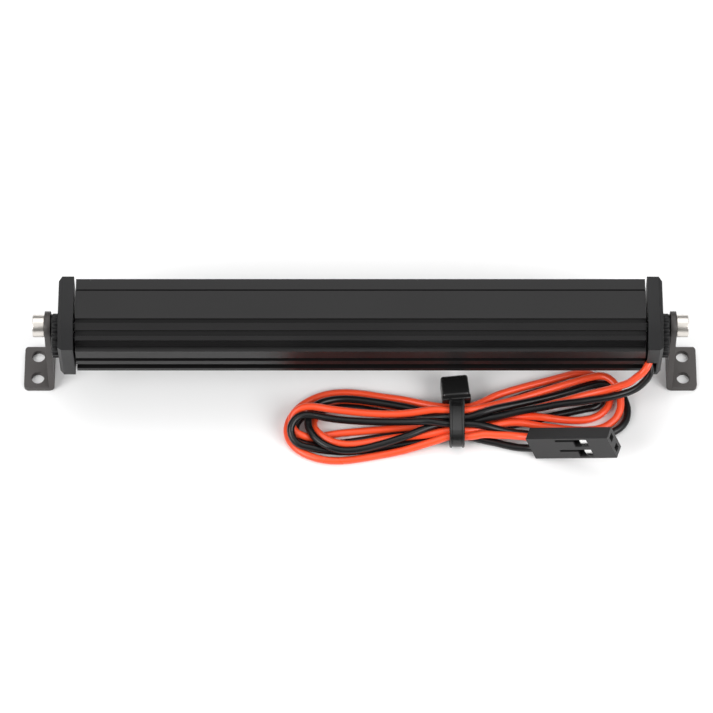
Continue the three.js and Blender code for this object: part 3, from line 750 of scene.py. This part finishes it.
BLACK_BIGHTS: list[Bight] = [
    Bight(
        Side.LEFT,
        Run(Row.MIDDLE_3, ((6.7, -14.3, 3.2),), (-2.3, -16.2, 2.6)),
        (-8.8, -10.8, 1.9),
        Run(Row.MIDDLE_2, ((6.8, -7.5, 1.9),), (-2.3, -6.2, 1.9)),
    ),
    Bight(
        Side.RIGHT,
        Run(Row.MIDDLE_2, ((24.0, -6.4, 1.2), (30.9, -3.6, 0.9)), (38.8, -1.6, 0.7)),
        (41.9, -4.6, 0.7),
        Run(Row.LOW_3, ((27.3, -9.9, 0.65), (34.0, -8.4, 0.7)), (39.2, -7.1, 0.7)),
    ),
    Bight(
        Side.LEFT,
        Run(Row.LOW_3, ((6.8, -12.1, 1.0), (-3.5, -13.7, 0.65)), (-8.3, -14.0, 0.65)),
        (-11.0, -11.3, 0.9),
        Run(Row.TOP_2, ((6.8, -8.4, 1.9), (-2.7, -7.0, 1.3)), (-8.3, -8.6, 1.2)),
    ),
    Bight(
        Side.RIGHT,
        Run(Row.TOP_2, ((23.8, -9.1, 3.6),), (41.4, -3.0, 1.9)),
        (45.6, -8.1, 1.3),
        Run(Row.TOP_3, ((25.5, -12.2, 1.9), (31.5, -12.1, 0.8)), (39.2, -12.6, 0.65)),
    ),
    Bight(
        Side.LEFT,
        Run(Row.TOP_3, ((6.7, -11.3, 3.6), (-4.3, -10.4, 3.0)), (-9.2, -10.0, 3.1)),
        (-11.9, -12.4, 1.8),
        Run(Row.LOW_4, ((6.7, -14.2, 1.0), (-2.6, -15.4, 0.65)), (-9.0, -14.9, 0.65)),
    ),
]


def spaced(points: list[Point], step: float) -> np.ndarray:
    """A smooth line through points, as evenly spaced samples.

    Args:
        points: The points to pass through.
        step: The distance between samples.

    Returns:
        The samples, one row each.
    """
    known = np.array(points, float)
    chords = np.sqrt(np.linalg.norm(np.diff(known, axis=0), axis=1))
    at = np.concatenate([[0.0], np.cumsum(chords)])
    slopes = np.gradient(known, at, axis=0)
    t = np.linspace(0, 1, SPAN_SAMPLES, endpoint=False)[:, None]
    leave, leave_slope = 2 * t**3 - 3 * t**2 + 1, t**3 - 2 * t**2 + t
    reach, reach_slope = 3 * t**2 - 2 * t**3, t**3 - t**2
    fine = []
    for i in range(len(known) - 1):
        span = at[i + 1] - at[i]
        fine.append(
            leave * known[i] + leave_slope * span * slopes[i]
            + reach * known[i + 1] + reach_slope * span * slopes[i + 1]
        )
    line = np.vstack([*fine, known[-1:]])
    along = np.concatenate([[0.0], np.cumsum(np.linalg.norm(np.diff(line, axis=0), axis=1))])
    wanted = np.linspace(0, along[-1], round(along[-1] / step) + 1)
    return np.stack([np.interp(wanted, along, line[:, k]) for k in range(3)], axis=1)


@dataclass
class Hank:
    """The two cores of the cord, from the cap through the tied hank to the plug.

    Attributes:
        diameter: Each core's diameter, in millimetres.
        step: The distance between samples while the strands settle, in millimetres.
        rounds: How many times the strands push each other apart.
        lift: The least gap between a strand and the table, in millimetres.
        spacing: The distance that the strands are pushed to, a little over the diameter.
        push: The share of a missing gap that each round makes good.
        sideways: How far strands give way in X and Y, as a share of how far they do in Z.
        bias: What the upper of two strands is raised by, so that one always comes to the top.
        sink: How far the free strands sink in each round, in millimetres.
        evening: The share by which each round evens a strand's shift with its neighbours'.
        tie_margin: How far beyond the tie the strands are held, in millimetres.
        cap_hold: Beyond this X and above this Z the leads are held, in millimetres.
        tail_held: How many samples are held before the plug.
        neighbours: How many samples along a core are too near to push each other.
        same_point: Points nearer together than this count once, in millimetres.
        facets: How finely the cord's round section is cut.
        length: The length of each core, in metres.
    """

    diameter: float = 1.3
    step: float = 1.0
    rounds: int = 240
    lift: float = 0.05
    spacing: float = 1.43
    push: float = 0.55
    sideways: float = 0.25
    bias: float = 0.05
    sink: float = 0.004
    evening: float = 0.3
    tie_margin: float = 0.6
    cap_hold: tuple[float, float] = (39.0, 4.9)
    tail_held: int = 8
    neighbours: int = 5
    same_point: float = 0.01
    facets: int = 3
    length: dict[Slot, float] = field(
        default_factory=lambda: {Slot.RED_WIRE: 0.36, Slot.BLACK_WIRE: 0.355}
    )

    def route(self, lead: list[Point], bights: list[Bight], tail: list[Point]) -> np.ndarray:
        """One core's line before it settles.

        Args:
            lead: The points from the cap to the tie.
            bights: The end loops in their order along the core.
            tail: The points from the tie to the plug.

        Returns:
            The samples, in millimetres.
        """
        points = list(lead)
        for bight in bights:
            points.append((TIE_MIDDLE - bight.side.value * TIE_REACH, *bight.out.row.value))
            points.extend(bight.points())
        last = bights[-1]
        points.append((TIE_MIDDLE - last.side.value * TIE_REACH, *last.back.row.value))
        points.extend(tail)
        kept = [points[0]]
        for point in points[1:]:
            if math.dist(point, kept[-1]) > self.same_point:
                kept.append(point)
        return spaced(kept, self.step)

    def settled(self, lines: list[np.ndarray]) -> list[np.ndarray]:
        """Lets the strands push each other apart and sink onto what is under them.

        Args:
            lines: The cores' samples.

        Returns:
            The samples after settling.
        """
        start = np.vstack(lines)
        core = np.concatenate([np.full(len(line), i) for i, line in enumerate(lines)])
        order = np.concatenate([np.arange(len(line)) for line in lines])
        held = np.abs(start[:, 0] - TIE_MIDDLE) < TIE_REACH + self.tie_margin
        held |= (start[:, 0] > self.cap_hold[0]) & (start[:, 2] > self.cap_hold[1])
        for i, line in enumerate(lines):
            held |= (core == i) & (order >= len(line) - self.tail_held)
        steps_apart = np.abs(order[:, None] - order[None, :])
        near = (core[:, None] == core[None, :]) & (steps_apart < self.neighbours)
        easy = (self.sideways, self.sideways, 1.0)
        rest = self.diameter / 2
        moved = np.zeros_like(start)
        free = ~held
        for _ in range(self.rounds):
            place = start + moved
            apart = place[:, None, :] - place[None, :, :]
            gap = np.linalg.norm(apart, axis=2)
            close = (gap < self.spacing) & ~near
            first, second = np.nonzero(close)
            away = apart[first, second] * easy
            away[:, 2] += np.where(away[:, 2] >= 0, self.bias, -self.bias)
            away /= np.linalg.norm(away, axis=1, keepdims=True)
            push = np.zeros_like(start)
            need = (self.spacing - gap[first, second])[:, None]
            np.add.at(push, first, self.push * need * away)
            count = np.maximum(np.bincount(first, minlength=len(start)), 1)[:, None]
            moved[free] += (push / np.sqrt(count))[free]
            moved[free, 2] -= self.sink
            moved[:, 2] = np.maximum(moved[:, 2], rest - start[:, 2])
            mean = moved.copy()
            mean[1:-1] = (moved[:-2] + moved[2:]) / 2
            smooth = free & (order > 0)
            smooth[:-1] &= core[:-1] == core[1:]
            moved[smooth] += self.evening * (mean - moved)[smooth]
        place = start + moved
        place[:, 2] = np.maximum(place[:, 2], rest + self.lift)
        return [place[core == i] for i in range(len(lines))]

    def curve(self, name: str, line: np.ndarray) -> bpy.types.Object:
        """A round cord along a line of samples.

        Args:
            name: The piece's name.
            line: The samples, in millimetres.

        Returns:
            The cord as a curve.
        """
        data = bpy.data.curves.new(name, "CURVE")
        data.dimensions = "3D"
        data.bevel_depth = self.diameter / 2 * MM
        data.bevel_resolution = self.facets
        data.resolution_u = self.facets
        data.use_fill_caps = True
        spline = data.splines.new("BEZIER")
        points = line[::2] if len(line) % 2 else np.vstack([line[:-1:2], line[-1:]])
        spline.bezier_points.add(len(points) - 1)
        for knot, place in zip(spline.bezier_points, points):
            knot.co = Vector(place) * MM
            knot.handle_left_type = knot.handle_right_type = "AUTO"
        made = bpy.data.objects.new(name, data)
        bpy.context.scene.collection.objects.link(made)
        return made

    def build(self, paint: Paintbox) -> dict[Slot, bpy.types.Object]:
        """Makes both cores and hides the solids that they stand in for.

        Args:
            paint: The materials.

        Returns:
            The cores by their finish.
        """
        lines = self.settled([
            self.route(RED_LEAD, RED_BIGHTS, RED_TAIL),
            self.route(BLACK_LEAD, BLACK_BIGHTS, BLACK_TAIL),
        ])
        red = placed(self.curve("core_red", lines[0]), paint, Slot.RED_WIRE)
        black = placed(self.curve("core_black", lines[1]), paint, Slot.BLACK_WIRE)
        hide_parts("lead_red", "tail_red", "cord_hank")
        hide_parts("lead_black", "tail_black")
        for piece, line in ((red, lines[0]), (black, lines[1])):
            length = float(np.linalg.norm(np.diff(line, axis=0), axis=1).sum()) * MM
            LOG.info("%s is %.3f m long", piece.name, length)
        return {Slot.RED_WIRE: red, Slot.BLACK_WIRE: black}

    def declare(
        self, cores: dict[Slot, bpy.types.Object], on_cord: dict[Slot, list[bpy.types.Object]]
    ) -> None:
        """Looks up each core's exit point, length and the pieces listed on it, but does nothing
        with them.

        Args:
            cores: The cores by their finish.
            on_cord: The pieces on each.
        """
        exits = {Slot.RED_WIRE: RED_LEAD[0], Slot.BLACK_WIRE: BLACK_LEAD[0]}
        for slot, piece in cores.items():
            tuple(v * MM for v in exits[slot])
            self.length[slot]
            on_cord[slot]


# ---------------------------------------------------------------- the cable tie


@dataclass
class CableTie:
    """The tie round the hank: a flat strap and the head that locks it.

    The strap runs round the bundle in the plane of Y and Z. All sizes are in millimetres.

    Attributes:
        middle: The middle of the bundle.
        inner_half: Half of the strap's inner width along Y.
        near_arc: The radius of the strap's turn next to the head.
        far_arc: The radius of its other turn.
        rail: The width of each rail along the strap's outside.
        recess: How far the face between the rails lies below them.
        thickness: The strap's thickness at the rails.
        width: The strap's width.
        round_off: The size of the strap's cut corners.
        rail_slope: The width of the slope from a rail down to the recess.
        arc_steps: How many flats each turn has.
        head_middle: The head's middle along X.
        head_width: Its width.
        head_turn: How far it is turned about Z, in degrees.
        head_near: The Y of the lip's free side.
        head_far: The Y of the side that faces away from the lip.
        head_bottom: The Z of its underside.
        head_top: The Z of its top.
        head_rounding: The rounding of the block's edges.
        lip_depth: How far the lip reaches along Y.
        lip_cover: How far behind the lip's free side the block starts.
        lip_overhang: How far the lip stands out on each side of the block.
        lip_low: How far above the block's underside the lip starts.
        lip_high: How far below the block's top the lip ends.
        lip_rounding: The rounding of the lip's edges.
        stub_half: Half of the stub's width.
        stub_in: How far the stub reaches into the block.
        stub_out: How far it stands out.
        stub_low: The Z of its underside.
        stub_high: The Z of its top.
        stub_rounding: The rounding of its edges.
        facets: How many facets each rounding has.
    """

    middle: Point = (16.45, -11.0, 2.65)
    inner_half: float = 3.6
    near_arc: float = 1.6
    far_arc: float = 1.8
    rail: float = 0.5
    recess: float = 0.17
    thickness: float = 0.85
    width: float = 2.6
    round_off: float = 0.16
    rail_slope: float = 0.1
    arc_steps: int = 16
    head_middle: float = 16.22
    head_width: float = 4.7
    head_turn: float = 6.0
    head_near: float = -7.35
    head_far: float = -2.75
    head_bottom: float = 0.95
    head_top: float = 4.7
    head_rounding: float = 0.45
    lip_depth: float = 1.0
    lip_cover: float = 0.6
    lip_overhang: float = 0.1
    lip_low: float = 0.3
    lip_high: float = 0.35
    lip_rounding: float = 0.25
    stub_half: float = 1.2
    stub_in: float = 0.6
    stub_out: float = 0.15
    stub_low: float = 2.0
    stub_high: float = 2.9
    stub_rounding: float = 0.12
    facets: int = 3

    def section(self) -> list[tuple[float, float]]:
        """The strap's section: a flat bar with cut corners and a rail along each edge.

        Returns:
            The section's corners, across the strap and out from the bundle.
        """
        cut, half, deep = self.round_off, self.width / 2, self.thickness
        floor, rail = deep - self.recess, half - self.rail
        slope = rail + self.rail_slope
        return [
            (-half, cut), (-half + cut, 0), (half - cut, 0), (half, cut),
            (half, deep - cut), (half - cut, deep), (slope, deep), (rail, floor),
            (-rail, floor), (-slope, deep), (cut - half, deep), (-half, deep - cut),
        ]

    def strap(self) -> bpy.types.Object:
        """The strap: its section swept round the bundle.

        Returns:
            The new piece.
        """
        mesh = bmesh.new()
        section = self.section()
        rings = []
        for end, start, arc in ((1, -90, self.far_arc), (-1, 90, self.near_arc)):
            for step in range(self.arc_steps + 1):
                angle = math.radians(start + step * 180 / self.arc_steps)
                rings.append((
                    self.middle[1] + end * (self.inner_half - arc), arc,
                    math.cos(angle), math.sin(angle),
                ))
        under = self.middle[2] - self.far_arc
        loops = []
        for centre, arc, across, up in rings:
            loops.append([
                mesh.verts.new(Vector((
                    self.middle[0] + x,
                    centre + across * (arc + out),
                    under + arc + up * (arc + out),
                )) * MM)
                for x, out in section
            ])
        for i, loop in enumerate(loops):
            after = loops[(i + 1) % len(loops)]
            for k in range(len(section)):
                other = (k + 1) % len(section)
                mesh.faces.new((loop[k], loop[other], after[other], after[k]))
        band = object_of(mesh, "tie_band")
        soften(band, 0.0)
        return band

    def box(self, low: Point, high: Point, name: str, rounding: float) -> bpy.types.Object:
        """A box with rounded edges.

        Args:
            low: Its lowest corner.
            high: Its highest corner.
            name: Its name.
            rounding: The width of the rounding.

        Returns:
            The new box.
        """
        mesh = bmesh.new()
        bmesh.ops.create_cube(mesh, size=1.0)
        size = [b - a for a, b in zip(low, high)]
        for vertex in mesh.verts:
            vertex.co = Vector([
                (a + (c + 0.5) * s) * MM for a, c, s in zip(low, vertex.co, size)
            ])
        bmesh.ops.bevel(
            mesh, geom=mesh.edges[:], offset=rounding * MM, segments=self.facets, profile=0.5,
            affect="EDGES",
        )
        return object_of(mesh, name)

    def head(self) -> bpy.types.Object:
        """The head: a block with a raised lip at its near end and a low stub at its far end.

        Returns:
            The new piece.
        """
        half = self.head_width / 2
        block = self.box(
            (-half, self.head_near + self.lip_cover, self.head_bottom),
            (half, self.head_far, self.head_top),
            "tie_block", self.head_rounding,
        )
        lip = self.box(
            (-half - self.lip_overhang, self.head_near, self.head_bottom + self.lip_low),
            (half + self.lip_overhang, self.head_near + self.lip_depth,
             self.head_top - self.lip_high),
            "tie_lip", self.lip_rounding,
        )
        stub = self.box(
            (-self.stub_half, self.head_far - self.stub_in, self.stub_low),
            (self.stub_half, self.head_far + self.stub_out, self.stub_high),
            "tie_stub", self.stub_rounding,
        )
        for extra in (lip, stub):
            source = bmesh.new()
            source.from_mesh(block.data)
            source.from_mesh(extra.data)
            source.to_mesh(block.data)
            source.free()
            bpy.data.objects.remove(extra)
        middle = (self.head_near + self.head_far) / 2 * MM
        block.data.transform(
            Matrix.Translation((self.head_middle * MM, middle, 0.0))
            @ Matrix.Rotation(math.radians(self.head_turn), 4, "Z")
            @ Matrix.Translation((0.0, -middle, 0.0))
        )
        block.name = "tie_lock"
        block.data.shade_smooth()
        return block

    def build(self, paint: Paintbox) -> list[bpy.types.Object]:
        """Makes the strap and the head in place of their solids.

        Args:
            paint: The materials.

        Returns:
            The strap and the head.
        """
        strap = placed(self.strap(), paint, Slot.NYLON)
        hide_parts("tie_strap")
        head = placed(self.head(), paint, Slot.NYLON)
        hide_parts("tie_head")
        for piece in (strap, head):
            LOG.info("%s: %d faces", piece.name, len(piece.data.polygons))
        return [strap, head]


# ---------------------------------------------------------------- pieces kept as they are


@dataclass(frozen=True)
class Dressing:
    """A finish and an edge rounding for nodes that keep their own shape.

    Attributes:
        slot: The finish.
        nodes: The nodes' names, without their side or number.
        rounding: The width of the rounded edges, in millimetres, or 0 for sharp ones.
    """

    slot: Slot
    nodes: tuple[str, ...]
    rounding: float

    def fits(self, name: str) -> bool:
        """Says whether a node is one of those that this dresses.

        Args:
            name: The node's full name.

        Returns:
            Whether the name without its side or number is in the list.
        """
        plain = name.rstrip("0123456789").removesuffix("_right").removesuffix("_left")
        return plain in self.nodes

    def apply(self, found: dict[str, bpy.types.Object], paint: Paintbox) -> None:
        """Dresses every node that the names fit.

        Args:
            found: The frame's nodes by name.
            paint: The materials.
        """
        for name, piece in found.items():
            if self.fits(name):
                piece.data.materials.clear()
                piece.data.materials.append(paint[self.slot])
                soften(piece, self.rounding * MM)
                LOG.info("%s in %s", name, self.slot.value)


DRESSINGS: tuple[Dressing, ...] = (
    Dressing(Slot.ANODISED, ("housing",), 0.1),
    Dressing(Slot.CAP_PLASTIC, ("end_cap", "index_pad"), 0.12),
    Dressing(Slot.BRACKET_STEEL, ("bracket",), 0.12),
    Dressing(Slot.NICKEL, ("pivot_screw",), 0.15),
    Dressing(
        Slot.BLACK_STEEL, ("cap_screw_upper", "cap_screw_lower", "washer", "pivot_nut"), 0.06
    ),
    Dressing(Slot.BOARD, ("circuit_board",), 0.05),
    Dressing(Slot.PHOSPHOR, ("led_",), 0.04),
    Dressing(Slot.CHROME, ("reflector",), 0.03),
    Dressing(Slot.LENS, ("lens",), 0.06),
    Dressing(Slot.SEAL, ("lens_seal",), 0.0),
    Dressing(Slot.PLUG, ("plug_shell",), 0.08),
    Dressing(Slot.TIN, ("terminal_red", "terminal_black"), 0.06),
)


# ---------------------------------------------------------------- studio


@dataclass(frozen=True)
class Lamp:
    """A soft light aimed at the object.

    Attributes:
        name: The light's name.
        place: Where it is, in metres.
        size: The width of its square, in metres.
        power: Its power, in watts.
    """

    name: str
    place: Point
    size: float
    power: float

    def build(self) -> bpy.types.Object:
        """Makes the light.

        Returns:
            The new light.
        """
        data = bpy.data.lights.new(self.name, "AREA")
        data.shape = "SQUARE"
        data.size = self.size
        data.energy = self.power
        made = bpy.data.objects.new(self.name, data)
        made.location = self.place
        made.rotation_mode = "QUATERNION"
        made.rotation_quaternion = (-Vector(self.place)).to_track_quat("-Z", "Y")
        bpy.context.scene.collection.objects.link(made)
        LOG.info("light %s: %.1f W", self.name, self.power)
        return made


@dataclass
class Studio:
    """The camera, the pale table and the soft lights.

    Attributes:
        eye: Where the camera is, in metres.
        tilt: The camera's turn up from looking straight down, in degrees.
        lens: The camera's focal length, in millimetres.
        sensor: The width that the focal length goes with, in millimetres.
        clip: The nearest and furthest distance that the camera sees, in metres.
        floor_size: The width of the table's top, in metres.
        floor_colour: The table's colour, linear.
        floor_roughness: The table's roughness.
        floor_specular: The table's specular level.
        surround: The room's brightness low down and overhead.
        overhead: The direction that the room is brightest in.
        dusk: How far towards overhead the room starts and ends getting brighter.
        lamps: The soft lights.
    """

    eye: Point = (-0.00068, -0.403586, 0.70523)
    tilt: float = 30.0
    lens: float = 238.0
    sensor: float = 36.0
    clip: tuple[float, float] = (0.01, 20.0)
    floor_size: float = 6.0
    floor_colour: Colour = (0.9, 0.9, 0.9)
    floor_roughness: float = 0.9
    floor_specular: float = 0.1
    surround: tuple[float, float] = (0.1, 1.1)
    overhead: Point = (0.0, 0.22, 0.975)
    dusk: tuple[float, float] = (0.55, 0.85)
    lamps: tuple[Lamp, ...] = (
        Lamp("key", (0.0, 0.3, 0.52), 0.5, 0.9),
        Lamp("left", (-0.45, -0.35, 0.45), 0.4, 3.2),
        Lamp("right", (0.45, -0.35, 0.45), 0.4, 3.2),
    )

    def camera(self) -> bpy.types.Object:
        """Makes the camera, which looks down from behind the lamp.

        Returns:
            The camera.
        """
        data = bpy.data.cameras.new("camera")
        data.lens = self.lens
        data.sensor_width = self.sensor
        data.clip_start, data.clip_end = self.clip
        made = bpy.data.objects.new("camera", data)
        made.location = self.eye
        made.rotation_euler = (math.radians(self.tilt), 0.0, 0.0)
        bpy.context.scene.collection.objects.link(made)
        bpy.context.scene.camera = made
        return made

    def floor(self) -> bpy.types.Object:
        """Makes the table's plain white top.

        Returns:
            The top.
        """
        mesh = bmesh.new()
        bmesh.ops.create_grid(mesh, x_segments=1, y_segments=1, size=self.floor_size / 2)
        top = object_of(mesh, "table_top", smooth=False)
        finish = bpy.data.materials.new("white table")
        finish.use_nodes = True
        shader = finish.node_tree.nodes["Principled BSDF"]
        shader.inputs["Base Color"].default_value = opaque(self.floor_colour)
        shader.inputs["Roughness"].default_value = self.floor_roughness
        shader.inputs["Specular IOR Level"].default_value = self.floor_specular
        top.data.materials.append(finish)
        return top

    def build(self) -> None:
        """Sets up the whole studio."""
        self.camera()
        self.floor()
        for lamp in self.lamps:
            lamp.build()
        bpy.context.scene.world = self.room()
        bpy.context.scene.view_settings.view_transform = "Standard"

    def room(self) -> bpy.types.World:
        """Makes the white room, which is dim at the level of the table and bright overhead.

        Returns:
            The room as a world.
        """
        world = bpy.data.worlds.new("white_room")
        world.use_nodes = True
        tree = world.node_tree
        place = node(tree, "ShaderNodeTexCoord")
        height = node(tree, "ShaderNodeVectorMath", operation="DOT_PRODUCT")
        height.inputs[1].default_value = self.overhead
        tree.links.new(place.outputs["Generated"], height.inputs[0])
        rise = ramp(tree, height.outputs["Value"], self.dusk)
        rise.inputs["To Min"].default_value, rise.inputs["To Max"].default_value = self.surround
        shade = tree.nodes["Background"]
        shade.inputs["Color"].default_value = grey(1.0)
        tree.links.new(rise.outputs[0], shade.inputs["Strength"])
        return world


def main() -> None:
    """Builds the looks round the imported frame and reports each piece."""
    logging.basicConfig(level=logging.INFO, format="%(name)s: %(message)s")
    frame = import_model()
    nodes = frame["nodes"]
    Studio().build()
    paint = Paintbox()
    hank = Hank()
    cores = hank.build(paint)
    tie = CableTie().build(paint)
    for dressing in DRESSINGS:
        dressing.apply(nodes, paint)
    hank.declare(cores, {
        Slot.RED_WIRE: [*tie, nodes["plug_shell"], nodes["terminal_red"]],
        Slot.BLACK_WIRE: [nodes["terminal_black"]],
    })


if __name__ == "__main__":
    main()
